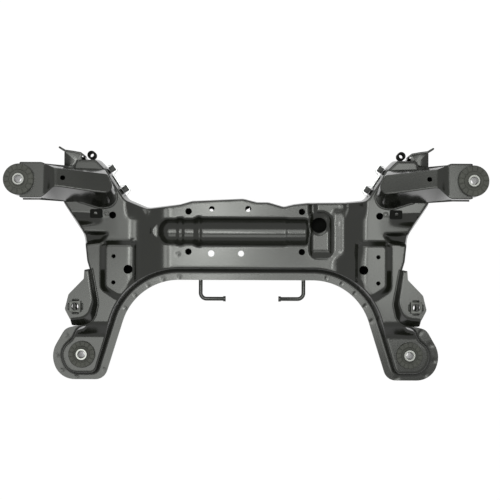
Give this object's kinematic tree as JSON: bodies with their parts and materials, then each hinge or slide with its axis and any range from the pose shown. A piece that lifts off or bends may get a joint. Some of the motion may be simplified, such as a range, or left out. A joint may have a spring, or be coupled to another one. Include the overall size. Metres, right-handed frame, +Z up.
{
  "type": "automotive front subframe",
  "caption": "Pressed-steel front subframe with a half-round rack trough, raised pads, two rising arms with rubber body mounts, rear feet with bushes, and control-arm brackets.",
  "frame": {"origin": "middle of the bounding box in plan, on the plane it rests on", "axes": "+X to the car's right as seen from above with the front up, +Y to the car's front, +Z up"},
  "size_m": [0.93, 0.468, 0.238],
  "materials": {
    "paint": "semi-gloss black paint",
    "rubber": "matt",
    "sleeve": "turned",
    "steel": "plain",
    "zinc": "bright zinc",
    "plastic": "matt black"
  },
  "bodies": {
    "root": {"upper_shell": "paint", "lower_shell": "paint", "rack_nuts": "steel", "pad_nuts": "steel", "left_arm_upper": "paint", "left_arm_lower": "paint", "left_arm_can": "paint", "left_arm_rubber": "rubber", "left_arm_sleeve": "sleeve", "left_foot_can": "paint", "left_foot_rubber": "rubber", "left_foot_sleeve": "sleeve", "left_rear_bracket": "paint", "left_rear_nut": "steel", "left_rear_ear": "paint", "left_front_bracket": "paint", "left_front_collar": "paint", "left_clip_strip": "zinc", "left_clip_blocks": "plastic", "left_hook": "paint", "left_harness_tab": "paint", "left_tab_nut": "steel", "right_arm_upper": "paint", "right_arm_lower": "paint", "right_arm_can": "paint", "right_arm_rubber": "rubber", "right_arm_sleeve": "sleeve", "right_foot_can": "paint", "right_foot_rubber": "rubber", "right_foot_sleeve": "sleeve", "right_rear_bracket": "paint", "right_rear_nut": "steel", "right_rear_ear": "paint", "right_front_bracket": "paint", "right_front_collar": "paint", "right_clip_strip": "zinc", "right_clip_blocks": "plastic", "right_hook": "paint", "right_harness_tab": "paint", "right_tab_nut": "steel"}
  },
  "joints": []
}
